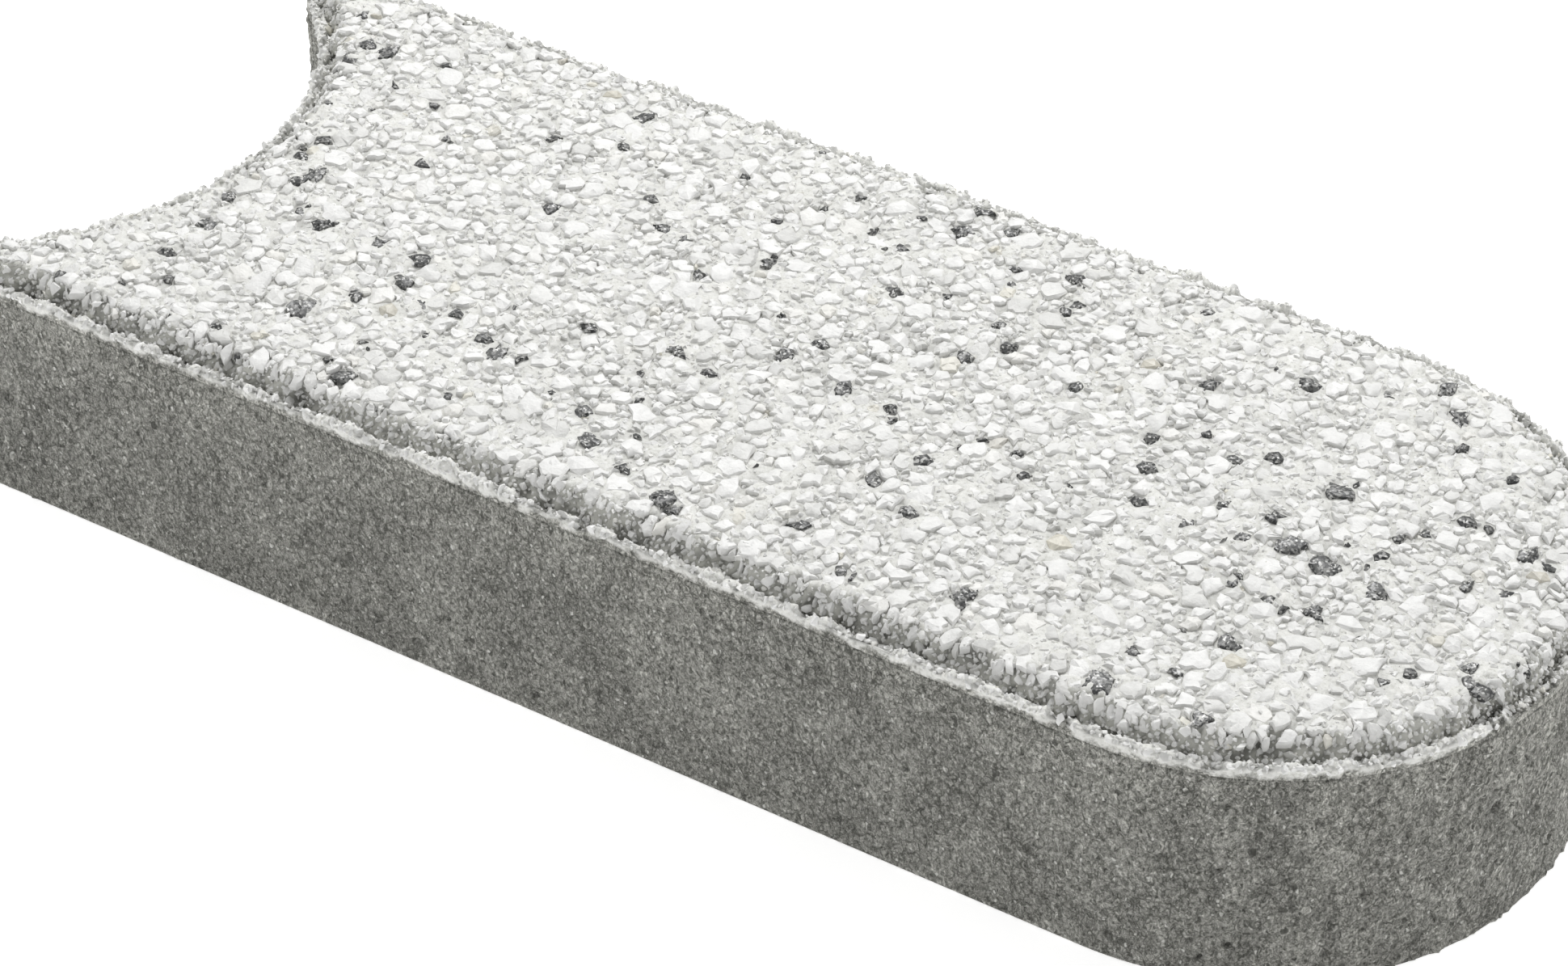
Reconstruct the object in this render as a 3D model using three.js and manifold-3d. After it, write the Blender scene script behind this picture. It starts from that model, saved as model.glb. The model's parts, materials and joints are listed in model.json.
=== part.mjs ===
// A two-layer concrete edging stone for lawns and beds. Seen from above it is a long strip with one
// convex half-round end and one concave end of the same curve, so that stones laid in a row turn on
// each other like a chain. The grey core concrete carries a white facing mortar with a bevelled rim,
// and crushed stone lies in the facing, washed free on its upper side.
//
// Millimetres. +X runs along the stone towards the convex end, +Y across it, +Z up. The origin is the
// middle of the bounding box, on the bed face.
import * as THREE from "three";
import { ConvexGeometry } from "three/addons/geometries/ConvexGeometry.js";
import { mergeVertices } from "three/addons/utils/BufferGeometryUtils.js";
import Module from "manifold-3d";

// The stone in plan.
const length = 300;
const width = 120;
const endRadius = width / 2;
const jointPlay = 1;
const seatRadius = endRadius + jointPlay;
const pitch = 276; // from the seat's centre to the convex end's centre
const endCentreX = length / 2 - endRadius;
const seatCentreX = endCentreX - pitch;
const hornTipX = -length / 2;

// The layers, from the bed face up.
const coreTop = 46.2;
const layerGap = 0.3;
const facingBottom = coreTop + layerGap;
const rimHeight = 48.3; // where the upright side ends and the bevel starts
const rimLedge = 1.8; // the narrow flat that the press plate leaves outside the bevel
const bevelWidth = 5.5;
const mortarTop = 51.2;
const stoneTop = 52;

// The crushed stone that has nodes of its own: the largest grains of each kind.
const socketGap = 0.45;
const grainSpacing = 14;
const grainEdge = 10; // least distance from a grain's centre to the stone's outline
const grainKinds = [
  { name: "basalt_chip", count: 24, halfLength: 2.6, halfWidth: 2.0, colour: 0x3d3f41, roughness: 0.55 },
  { name: "marble_chip", count: 18, halfLength: 3.6, halfWidth: 2.6, colour: 0xeeeeea, roughness: 0.45 },
  { name: "quartz_pebble", count: 6, halfLength: 3.0, halfWidth: 2.3, colour: 0xcfc8b2, roughness: 0.4 },
];
const grainHalfHeight = 1.9;
const grainCorners = 18;
const grainFlat = 0.8; // share of the half height where the rubbed top is cut flat
const leastReach = 0.86; // how far in a corner may lie, as a share of the grain's own radius
const cornerSwing = 0.5; // most turn of a corner about the grain's axis, in radians
const leastSize = 0.85;
const mostSize = 1.15;
const placeSeed = 29;
const shapeSeed = 7;

const endSteps = 44;
const seatSteps = 32;

// Repeatable random numbers from 0 to 1.
function randomNumbers(seed) {
  let state = seed;
  return () => {
    state = (state * 1664525 + 1013904223) % 4294967296;
    return state / 4294967296;
  };
}

// The plan outline moved inwards by inset, anticlockwise, always with the same number of points.
function outline(inset) {
  const points = [];
  const halfWidth = width / 2 - inset;
  for (let i = 0; i <= endSteps; i++) {
    const turn = -Math.PI / 2 + (Math.PI * i) / endSteps;
    const radius = endRadius - inset;
    points.push(new THREE.Vector2(endCentreX + radius * Math.cos(turn), radius * Math.sin(turn)));
  }
  const tipX = hornTipX + inset;
  points.push(new THREE.Vector2(tipX, halfWidth));
  const radius = seatRadius + inset;
  const halfTurn = Math.acos((tipX - seatCentreX) / radius);
  for (let i = 0; i <= seatSteps; i++) {
    const turn = halfTurn - (2 * halfTurn * i) / seatSteps;
    points.push(new THREE.Vector2(seatCentreX + radius * Math.cos(turn), radius * Math.sin(turn)));
  }
  points.push(new THREE.Vector2(tipX, -halfWidth));
  return points;
}

// A closed body through outlines that share their point count: levels are {inset, z}, from the bottom up.
function stackOutlines(levels) {
  const loops = levels.map((level) => outline(level.inset));
  const count = loops[0].length;
  const positions = [];
  loops.forEach((loop, k) => loop.forEach((p) => positions.push(p.x, p.y, levels[k].z)));
  const faces = [];
  for (let k = 0; k + 1 < loops.length; k++) {
    for (let i = 0; i < count; i++) {
      const a = k * count + i;
      const b = k * count + ((i + 1) % count);
      faces.push(a, b, b + count, a, b + count, a + count);
    }
  }
  const last = (loops.length - 1) * count;
  for (const [a, b, c] of THREE.ShapeUtils.triangulateShape(loops[0], [])) faces.push(a, c, b);
  for (const [a, b, c] of THREE.ShapeUtils.triangulateShape(loops.at(-1), [])) {
    faces.push(last + a, last + b, last + c);
  }
  const geometry = new THREE.BufferGeometry();
  geometry.setAttribute("position", new THREE.Float32BufferAttribute(positions, 3));
  geometry.setIndex(faces);
  return geometry;
}

// The distance from a point inside the stone to its plan outline.
function distanceToOutline(x, y) {
  const toSide = width / 2 - Math.abs(y);
  const toSeat = Math.hypot(x - seatCentreX, y) - seatRadius;
  const toEnd = x > endCentreX ? endRadius - Math.hypot(x - endCentreX, y) : Infinity;
  return Math.min(toSide, toSeat, toEnd, x - hornTipX);
}

// Where the large grains lie: scattered over the top face, clear of the rim and of each other.
function scatterGrains(total) {
  const random = randomNumbers(placeSeed);
  const places = [];
  while (places.length < total) {
    const x = (random() - 0.5) * length;
    const y = (random() - 0.5) * width;
    const clear = places.every((p) => Math.hypot(p.x - x, p.y - y) > grainSpacing);
    if (clear && distanceToOutline(x, y) > grainEdge) places.push({ x, y });
  }
  return places;
}

// The corners of one grain of broken stone: spread evenly over an ellipsoid, then pushed about a little.
function grainShape(random, kind) {
  const size = leastSize + (mostSize - leastSize) * random();
  const corners = [];
  for (let i = 0; i < grainCorners; i++) {
    const z = 1 - (2 * (i + 0.5)) / grainCorners;
    const turn = i * Math.PI * (3 - Math.sqrt(5)) + cornerSwing * random();
    const around = Math.sqrt(1 - z * z);
    const reach = leastReach + (1 - leastReach) * random();
    corners.push(
      new THREE.Vector3(
        kind.halfLength * size * reach * around * Math.cos(turn),
        kind.halfWidth * size * reach * around * Math.sin(turn),
        grainHalfHeight * Math.min(grainFlat, z) * reach,
      ),
    );
  }
  return corners;
}

const wasm = await Module();
wasm.setup();

// A mesh's geometry, where it stands, as a solid that can be cut.
function toSolid(geometry, matrix) {
  const bare = new THREE.BufferGeometry();
  bare.setAttribute("position", geometry.getAttribute("position").clone());
  if (geometry.index) bare.setIndex(geometry.index);
  const merged = mergeVertices(bare.applyMatrix4(matrix), 1e-4);
  return new wasm.Manifold(
    new wasm.Mesh({
      numProp: 3,
      vertProperties: merged.getAttribute("position").array,
      triVerts: new Uint32Array(merged.index.array),
    }),
  );
}

function toGeometry(solid) {
  const mesh = solid.getMesh();
  const geometry = new THREE.BufferGeometry();
  geometry.setAttribute("position", new THREE.Float32BufferAttribute(mesh.vertProperties, 3));
  geometry.setIndex(new THREE.Uint32BufferAttribute(mesh.triVerts, 1));
  geometry.computeVertexNormals();
  return geometry;
}

function coreConcrete() {
  const geometry = stackOutlines([
    { inset: 0, z: 0 },
    { inset: 0, z: coreTop },
  ]);
  const grey = new THREE.MeshStandardMaterial({ color: 0x80817c, roughness: 0.95, metalness: 0 });
  const mesh = new THREE.Mesh(geometry, grey);
  mesh.name = "core_concrete";
  return mesh;
}

function facingMortar(sockets) {
  const slab = stackOutlines([
    { inset: 0, z: facingBottom },
    { inset: 0, z: rimHeight },
    { inset: rimLedge, z: rimHeight },
    { inset: bevelWidth, z: mortarTop },
  ]);
  let solid = toSolid(slab, new THREE.Matrix4());
  for (const socket of sockets) solid = solid.subtract(socket);
  const white = new THREE.MeshStandardMaterial({ color: 0xdcdcd8, roughness: 0.9, metalness: 0 });
  const mesh = new THREE.Mesh(toGeometry(solid), white);
  mesh.name = "facing_mortar";
  return mesh;
}

// Every large grain as a mesh, with the socket that it leaves in the mortar.
function largeGrains() {
  const random = randomNumbers(shapeSeed);
  const places = scatterGrains(grainKinds.reduce((sum, kind) => sum + kind.count, 0));
  const grains = [];
  for (const kind of grainKinds) {
    const material = new THREE.MeshStandardMaterial({
      color: kind.colour,
      roughness: kind.roughness,
      metalness: 0,
    });
    for (let n = 1; n <= kind.count; n++) {
      const corners = grainShape(random, kind);
      const highest = Math.max(...corners.map((corner) => corner.z));
      const mesh = new THREE.Mesh(new ConvexGeometry(corners), material);
      const place = places.pop();
      mesh.position.set(place.x, place.y, stoneTop - highest);
      mesh.rotation.z = random() * Math.PI;
      mesh.name = `${kind.name}_${String(n).padStart(2, "0")}`;
      mesh.updateMatrix();
      const wider = corners.map((corner) => corner.clone().setLength(corner.length() + socketGap));
      grains.push({ mesh, socket: toSolid(new ConvexGeometry(wider), mesh.matrix) });
    }
  }
  return grains;
}

const grains = largeGrains();
const stone = new THREE.Group();
stone.add(coreConcrete(), facingMortar(grains.map((grain) => grain.socket)));
for (const grain of grains) stone.add(grain.mesh);

export default stone;
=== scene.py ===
# A pressed concrete edging stone: grey core, white washed facing, crushed marble and basalt in the face.
import json
import math

import bmesh
import bpy
import numpy as np
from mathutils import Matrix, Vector
from mathutils.geometry import delaunay_2d_cdt

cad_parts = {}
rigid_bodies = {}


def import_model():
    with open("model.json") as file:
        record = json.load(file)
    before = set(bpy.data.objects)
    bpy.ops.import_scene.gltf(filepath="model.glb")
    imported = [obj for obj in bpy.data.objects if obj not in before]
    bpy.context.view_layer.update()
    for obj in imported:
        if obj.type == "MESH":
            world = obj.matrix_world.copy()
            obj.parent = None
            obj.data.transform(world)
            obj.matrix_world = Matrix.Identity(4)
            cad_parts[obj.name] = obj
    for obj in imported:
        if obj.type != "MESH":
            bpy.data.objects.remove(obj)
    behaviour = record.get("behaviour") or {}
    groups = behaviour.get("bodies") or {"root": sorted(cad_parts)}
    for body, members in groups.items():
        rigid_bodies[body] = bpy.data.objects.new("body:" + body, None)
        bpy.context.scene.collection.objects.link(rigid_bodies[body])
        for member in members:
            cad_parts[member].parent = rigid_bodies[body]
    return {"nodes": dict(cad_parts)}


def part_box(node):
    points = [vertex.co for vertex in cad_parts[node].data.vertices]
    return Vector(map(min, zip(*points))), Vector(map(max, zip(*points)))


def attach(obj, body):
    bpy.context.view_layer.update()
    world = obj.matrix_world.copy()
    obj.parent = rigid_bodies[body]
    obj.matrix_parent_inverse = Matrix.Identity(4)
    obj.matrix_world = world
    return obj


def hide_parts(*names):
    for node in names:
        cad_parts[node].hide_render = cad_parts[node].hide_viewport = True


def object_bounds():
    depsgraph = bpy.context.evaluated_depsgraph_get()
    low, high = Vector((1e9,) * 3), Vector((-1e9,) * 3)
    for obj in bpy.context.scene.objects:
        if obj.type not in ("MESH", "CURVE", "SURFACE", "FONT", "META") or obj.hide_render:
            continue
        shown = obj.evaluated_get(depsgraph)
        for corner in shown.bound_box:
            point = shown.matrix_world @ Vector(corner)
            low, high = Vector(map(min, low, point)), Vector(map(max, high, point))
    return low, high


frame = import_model()
cadLow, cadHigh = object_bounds()
mm = 0.001
body = "root"

# the stone's own sizes, read off the frame
coreLow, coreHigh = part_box("core_concrete")
halfLength = (coreHigh.x - coreLow.x) / 2
halfWidth = (coreHigh.y - coreLow.y) / 2
endCentreX = halfLength - halfWidth
coreTop = coreHigh.z
stoneTop = cadHigh.z

# what the frame's boxes don't tell: the seat of the concave end, which the next stone's convex end fits
seat = {"pitch": 276 * mm, "play": 1 * mm}  # pitch is the distance between the centres of the two curves
seatCentreX = endCentreX - seat["pitch"]
seatRadius = halfWidth + seat["play"]


def linear(hexColour, alpha=1.0):
    parts = [int(hexColour[i : i + 2], 16) / 255 for i in (1, 3, 5)]
    return tuple(c / 12.92 if c <= 0.04045 else ((c + 0.055) / 1.055) ** 2.4 for c in parts) + (alpha,)


def fillInputs(tree, node, inputs):
    # an input takes a plain value, a socket, or a node, which then gives its first output
    for key, value in inputs.items():
        if isinstance(value, bpy.types.Node):
            value = value.outputs[0]
        if isinstance(value, bpy.types.NodeSocket):
            tree.links.new(value, node.inputs[key])
        else:
            node.inputs[key].default_value = value


def addNode(tree, kind, inputs=None, **settings):
    node = tree.nodes.new(kind)
    for name, value in settings.items():
        setattr(node, name, value)
    fillInputs(tree, node, inputs or {})
    return node


def newMaterial(name):
    material = bpy.data.materials.new(name)
    material.use_nodes = True
    tree = material.node_tree
    return material, tree, tree.nodes["Principled BSDF"]


def setStops(ramp, stops):
    # a new ramp has two stops, which become the first and the last
    for element, (spot, colour) in zip(ramp.elements, (stops[0], stops[-1])):
        element.position, element.color = spot, linear(colour)
    for spot, colour in stops[1:-1]:
        ramp.elements.new(spot).color = linear(colour)


view = {
    "target": (-5.4 * mm, -1.4 * mm, 20 * mm),
    "azimuth": 0.5595,  # turned from straight along +Y, in radians
    "elevation": 0.6781,
    "distance": 0.8604,
    "lens": 107.69,
    "sensor": 36,
}


def makeCamera():
    data = bpy.data.cameras.new("studioCamera")
    data.lens = view["lens"]
    data.sensor_width = view["sensor"]
    data.clip_start = 0.01
    camera = bpy.data.objects.new("studioCamera", data)
    bpy.context.scene.collection.objects.link(camera)
    a, e = view["azimuth"], view["elevation"]
    back = Vector((math.sin(a) * math.cos(e), -math.cos(a) * math.cos(e), math.sin(e)))
    camera.location = Vector(view["target"]) + back * view["distance"]
    camera.rotation_mode = "QUATERNION"
    camera.rotation_quaternion = (-back).to_track_quat("-Z", "Y")
    bpy.context.scene.camera = camera


light = {
    "skyColour": "#FFFFFF",
    "skyStrength": 0.4,
    "lamps": {
        "keyLight": {"from": (-0.55, 1.0, 1.25), "size": 0.6, "power": 20.5},
        "fillLight": {"from": (-1.2, -0.85, 0.95), "size": 0.25, "power": 4.6},
        "sideLight": {"from": (1.25, 0.55, 0.7), "size": 0.25, "power": 5},
    },
    "floorSize": 6.0, "floorDrop": 0.05 * mm, "floorRoughness": 0.9,
    "floorColour": "#F6F6F6",
    "floorGlow": 0.7,
}


def makeLight():
    world = bpy.data.worlds.new("studioSky")
    world.use_nodes = True
    sky = world.node_tree.nodes["Background"]
    sky.inputs["Color"].default_value = linear(light["skyColour"])
    sky.inputs["Strength"].default_value = light["skyStrength"]
    bpy.context.scene.world = world
    for name, choice in light["lamps"].items():
        data = bpy.data.lights.new(name, "AREA")
        data.size = choice["size"]
        data.energy = choice["power"]
        lamp = bpy.data.objects.new(name, data)
        bpy.context.scene.collection.objects.link(lamp)
        lamp.location = choice["from"]
        lamp.rotation_mode = "QUATERNION"
        lamp.rotation_quaternion = (-Vector(choice["from"])).to_track_quat("-Z", "Y")
    bpy.context.scene.view_settings.view_transform = "Standard"


def makeFloor():
    half = light["floorSize"] / 2
    mesh = bpy.data.meshes.new("studioFloor")
    corners = [(-half, -half, 0), (half, -half, 0), (half, half, 0), (-half, half, 0)]
    mesh.from_pydata(corners, [], [(0, 1, 2, 3)])
    floor = bpy.data.objects.new("studioFloor", mesh)
    floor.location.z = -light["floorDrop"]
    bpy.context.scene.collection.objects.link(floor)
    material, tree, paint = newMaterial("paperFloor")
    colour = linear(light["floorColour"])
    fillInputs(tree, paint, {
        "Base Color": colour, "Roughness": light["floorRoughness"],
        "Emission Color": colour, "Emission Strength": light["floorGlow"],
    })
    mesh.materials.append(material)


outline = {"spacing": 0.65 * mm, "rounding": 5}  # rounding is how many times the corners are worn down


def planLoop(inset):
    # anticlockwise, the same number of points for every inset, with the corners slightly worn
    spacing = outline["spacing"]
    endCount = round(math.pi * halfWidth / spacing)
    sideCount = round((endCentreX + halfLength) / spacing)
    hornCount = round((halfWidth - math.sqrt(seatRadius**2 - (seatCentreX + halfLength) ** 2)) / spacing)
    seatTurn = math.acos((-halfLength - seatCentreX) / seatRadius)
    seatCount = round(2 * seatTurn * seatRadius / spacing)
    tipX = -halfLength + inset
    sideY = halfWidth - inset
    bow = seatRadius + inset
    turn = math.acos((tipX - seatCentreX) / bow)
    hornY = bow * math.sin(turn)
    steps = np.arange(endCount) / endCount
    swing = -math.pi / 2 + math.pi * steps
    end = np.stack([endCentreX + sideY * np.cos(swing), sideY * np.sin(swing)], 1)
    steps = np.arange(sideCount) / sideCount
    left = np.stack([endCentreX + (tipX - endCentreX) * steps, np.full(sideCount, sideY)], 1)
    right = np.stack([tipX + (endCentreX - tipX) * steps, np.full(sideCount, -sideY)], 1)
    steps = np.arange(hornCount) / hornCount
    upper = np.stack([np.full(hornCount, tipX), sideY + (hornY - sideY) * steps], 1)
    lower = np.stack([np.full(hornCount, tipX), -hornY + (hornY - sideY) * steps], 1)
    swing = turn - 2 * turn * np.arange(seatCount) / seatCount
    bay = np.stack([seatCentreX + bow * np.cos(swing), bow * np.sin(swing)], 1)
    loop = np.concatenate([end, left, upper, bay, lower, right])
    for _ in range(outline["rounding"]):
        loop = loop / 2 + (np.roll(loop, 1, 0) + np.roll(loop, -1, 0)) / 4
    return loop


def depthInside(x, y):
    # how far a point lies inside the outline
    toSide = halfWidth - np.abs(y)
    toSeat = np.hypot(x - seatCentreX, y) - seatRadius
    toEnd = np.where(x > endCentreX, halfWidth - np.hypot(x - endCentreX, y), 1.0)
    return np.minimum(np.minimum(toSide, toSeat), np.minimum(toEnd, x + halfLength))


def fillLoop(loop, spacing, margin):
    # triangles across a loop, with a loose grid of points inside it
    xs = np.arange(loop[:, 0].min(), loop[:, 0].max(), spacing)
    ys = np.arange(loop[:, 1].min(), loop[:, 1].max(), spacing)
    gridX, gridY = np.meshgrid(xs, ys)
    gridX[1::2] += spacing / 2
    inside = depthInside(gridX, gridY) > margin
    inner = np.stack([gridX[inside], gridY[inside]], 1)
    points = np.concatenate([loop, inner])
    count = len(loop)
    result = delaunay_2d_cdt([Vector(p) for p in points], [], [list(range(count))], 1, 1e-9)
    place = [group[0] if group else -1 for group in result[3]]
    faces = [tuple(place[i] for i in face) for face in result[2]]
    return inner, faces


def makeObject(name, points, faces, attributes=None):
    mesh = bpy.data.meshes.new(name)
    mesh.from_pydata([tuple(p) for p in points], [], faces)
    for key, values in (attributes or {}).items():
        layer = mesh.attributes.new(key, "FLOAT", "POINT")
        layer.data.foreach_set("value", np.asarray(values, dtype=np.float32))
    mesh.update()
    thing = bpy.data.objects.new(name, mesh)
    bpy.context.scene.collection.objects.link(thing)
    return thing


def ringFaces(rings, count, offset=0):
    faces = []
    for ring in range(rings - 1):
        base = offset + ring * count
        for i in range(count):
            j = (i + 1) % count
            faces.append((base + i, base + j, base + count + j, base + count + i))
    return faces


def newTree(name, sockets):
    tree = bpy.data.node_groups.new(name, "GeometryNodeTree")
    tree.interface.new_socket("Geometry", in_out="INPUT", socket_type="NodeSocketGeometry")
    for label, kind in sockets.items():
        tree.interface.new_socket(label, in_out="INPUT", socket_type=kind)
    tree.interface.new_socket("Geometry", in_out="OUTPUT", socket_type="NodeSocketGeometry")
    return tree, addNode(tree, "NodeGroupInput").outputs


def bakeNodes(source, tree, values, name):
    modifier = source.modifiers.new(name, "NODES")
    modifier.node_group = tree
    for item in tree.interface.items_tree:
        if item.in_out == "INPUT" and item.name in values:
            modifier[item.identifier] = values[item.name]
    source.update_tag()
    bpy.context.view_layer.update()
    evaluated = source.evaluated_get(bpy.context.evaluated_depsgraph_get())
    mesh = bpy.data.meshes.new_from_object(evaluated)
    mesh.name = name
    source.modifiers.remove(modifier)
    return mesh


def weatherTree():
    # pushes a fine mesh in and out along its normals: sand grain, slow waves, dragged streaks and air pits
    tree, given = newTree("weatherSurface", {
        "Grain Size": "NodeSocketFloat", "Grain Depth": "NodeSocketFloat",
        "Wave Size": "NodeSocketFloat", "Wave Depth": "NodeSocketFloat",
        "Streak Size": "NodeSocketFloat", "Streak Depth": "NodeSocketFloat",
        "Pit Spacing": "NodeSocketFloat", "Pit Radius": "NodeSocketFloat", "Pit Depth": "NodeSocketFloat",
        "Seed": "NodeSocketFloat", "Material": "NodeSocketMaterial",
    })
    place = addNode(tree, "GeometryNodeInputPosition")
    normal = addNode(tree, "GeometryNodeInputNormal")
    rough = addNode(tree, "GeometryNodeInputNamedAttribute", {"Name": "rough"}, data_type="FLOAT")
    drag = addNode(tree, "GeometryNodeInputNamedAttribute", {"Name": "drag"}, data_type="FLOAT")
    drawn = addNode(tree, "ShaderNodeVectorMath", {0: place, 1: (1, 1, 0.16)}, operation="MULTIPLY")
    total = None
    for label, where, share in (("Grain", place, rough), ("Wave", place, rough), ("Streak", drawn, drag)):
        scale = addNode(tree, "ShaderNodeMath", {0: 1.0, 1: given[label + " Size"]}, operation="DIVIDE")
        noise = addNode(tree, "ShaderNodeTexNoise", {
            "Vector": where, "W": given["Seed"], "Scale": scale, "Detail": 3.0, "Roughness": 0.6,
        }, noise_dimensions="4D")
        push = addNode(tree, "ShaderNodeMath", {0: noise, 1: 0.5}, operation="SUBTRACT")
        push = addNode(tree, "ShaderNodeMath", {0: push, 1: given[label + " Depth"]}, operation="MULTIPLY")
        push = addNode(tree, "ShaderNodeMath", {0: push, 1: share}, operation="MULTIPLY")
        total = addNode(tree, "ShaderNodeMath", {0: total, 1: push}, operation="ADD") if total else push
    scale = addNode(tree, "ShaderNodeMath", {0: 1.0, 1: given["Pit Spacing"]}, operation="DIVIDE")
    cells = addNode(tree, "ShaderNodeTexVoronoi", {"Vector": place, "W": given["Seed"], "Scale": scale},
                    voronoi_dimensions="4D")
    chance = addNode(tree, "ShaderNodeSeparateXYZ", {0: cells.outputs["Color"]})
    wide = addNode(tree, "ShaderNodeMath", {0: chance, 1: given["Pit Radius"]}, operation="MULTIPLY")
    floor = addNode(tree, "ShaderNodeMath", {0: wide, 1: 0.35}, operation="MULTIPLY")
    away = addNode(tree, "ShaderNodeMath", {
        0: cells.outputs["Distance"], 1: given["Pit Spacing"],
    }, operation="MULTIPLY")
    pit = addNode(tree, "ShaderNodeMapRange", {
        "Value": away, "From Min": floor, "From Max": wide, "To Min": 1.0, "To Max": 0.0,
    }, interpolation_type="SMOOTHSTEP")
    pit = addNode(tree, "ShaderNodeMath", {0: pit, 1: given["Pit Depth"]}, operation="MULTIPLY")
    pit = addNode(tree, "ShaderNodeMath", {0: pit, 1: rough}, operation="MULTIPLY")
    total = addNode(tree, "ShaderNodeMath", {0: total, 1: pit}, operation="SUBTRACT")
    relief = addNode(tree, "ShaderNodeMath", {0: total, 1: 1 / mm}, operation="MULTIPLY")
    kept = addNode(tree, "GeometryNodeStoreNamedAttribute", {
        "Geometry": given["Geometry"], "Name": "relief", "Value": relief,
    }, data_type="FLOAT", domain="POINT")
    offset = addNode(tree, "ShaderNodeVectorMath", {0: normal, "Scale": total}, operation="SCALE")
    moved = addNode(tree, "GeometryNodeSetPosition", {"Geometry": kept, "Offset": offset})
    real = addNode(tree, "GeometryNodeRealizeInstances", {"Geometry": moved})
    dressed = addNode(tree, "GeometryNodeSetMaterial", {"Geometry": real, "Material": given["Material"]})
    addNode(tree, "NodeGroupOutput", {0: dressed})
    return tree


def scatterTree():
    # lays grains on the faces where the attribute named in Band is set, part sunk into them
    tree, given = newTree("scatterGrains", {
        "Band": "NodeSocketString", "Grains": "NodeSocketCollection", "Spacing": "NodeSocketFloat",
        "Density": "NodeSocketFloat", "Smallest": "NodeSocketFloat", "Largest": "NodeSocketFloat",
        "Sink": "NodeSocketFloat", "Seed": "NodeSocketInt", "Material": "NodeSocketMaterial",
    })
    band = addNode(tree, "GeometryNodeInputNamedAttribute", {"Name": given["Band"]}, data_type="FLOAT")
    points = addNode(tree, "GeometryNodeDistributePointsOnFaces", {
        "Mesh": given["Geometry"], "Distance Min": given["Spacing"], "Density Max": given["Density"],
        "Density Factor": band, "Seed": given["Seed"],
    }, distribute_method="POISSON")
    faced = addNode(tree, "GeometryNodeStoreNamedAttribute", {
        "Geometry": points.outputs["Points"], "Name": "facing", "Value": points.outputs["Normal"],
    }, data_type="FLOAT_VECTOR", domain="POINT")
    grains = addNode(tree, "GeometryNodeCollectionInfo", {
        "Collection": given["Grains"], "Separate Children": True, "Reset Children": True,
    })
    size = addNode(tree, "FunctionNodeRandomValue", {
        2: given["Smallest"], 3: given["Largest"], "Seed": given["Seed"],
    }, data_type="FLOAT").outputs[1]
    turn = addNode(tree, "FunctionNodeRandomValue", {
        0: (0, 0, 0), 1: (6.28, 6.28, 6.28), "Seed": given["Seed"],
    }, data_type="FLOAT_VECTOR")
    squash = addNode(tree, "FunctionNodeRandomValue", {
        0: (0.75, 0.65, 0.6), 1: (1.25, 1.0, 1.0), "Seed": 5,
    }, data_type="FLOAT_VECTOR")
    scale = addNode(tree, "ShaderNodeVectorMath", {0: squash, "Scale": size}, operation="SCALE")
    placed = addNode(tree, "GeometryNodeInstanceOnPoints", {
        "Points": faced, "Instance": grains, "Pick Instance": True, "Rotation": turn, "Scale": scale,
    })
    depth = addNode(tree, "ShaderNodeMath", {0: size, 1: given["Sink"]}, operation="MULTIPLY")
    depth = addNode(tree, "ShaderNodeMath", {0: depth, 1: -1.0}, operation="MULTIPLY")
    facing = addNode(tree, "GeometryNodeInputNamedAttribute", {"Name": "facing"}, data_type="FLOAT_VECTOR")
    sunk = addNode(tree, "ShaderNodeVectorMath", {0: facing, "Scale": depth}, operation="SCALE")
    moved = addNode(tree, "GeometryNodeTranslateInstances", {
        "Instances": placed, "Translation": sunk, "Local Space": False,
    })
    tone = addNode(tree, "FunctionNodeRandomValue", {2: 0.0, 3: 1.0, "Seed": 11}, data_type="FLOAT")
    toned = addNode(tree, "GeometryNodeStoreNamedAttribute", {
        "Geometry": moved, "Name": "tone", "Value": tone.outputs[1],
    }, data_type="FLOAT", domain="INSTANCE")
    real = addNode(tree, "GeometryNodeRealizeInstances", {"Geometry": toned})
    dressed = addNode(tree, "GeometryNodeSetMaterial", {"Geometry": real, "Material": given["Material"]})
    addNode(tree, "NodeGroupOutput", {0: dressed})
    return tree


concreteLook = {
    "lean": math.radians(24), "drawn": 0.72,  # the press leaves the pattern leaning and drawn out upwards
    "pepperSize": 1.0 * mm,
    "paste": ((0.33, "#383834"), (0.42, "#5E5E58"), (0.50, "#8A8A84"), (0.57, "#A09F99"), (0.70, "#D2D2CC")),
    "cloudSize": 11 * mm,
    "bendSize": 0.9 * mm, "bend": 1.1 * mm,  # how crooked the outlines of sand, pores and seams are
    "sandSize": 1.3 * mm, "paleSand": "#CFCFCA", "paleFrom": 0.8, "darkSand": "#4A4A45", "darkFrom": 0.86,
    "fleckSize": 0.5 * mm,
    # the pores are painted shadow: dark spots laid into the colour
    "poreSpacing": 4.5 * mm, "pore": "#3A3A35", "poreShade": 0.75,
    "seamSpacing": 2.1 * mm, "seam": "#45453F",
    "slurry": 12 * mm, "slurryShade": 1.14,  # paler towards the seam with the facing
    "bumpDepth": 0.5 * mm, "roughness": 0.92, "ior": 1.5,
}


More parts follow.
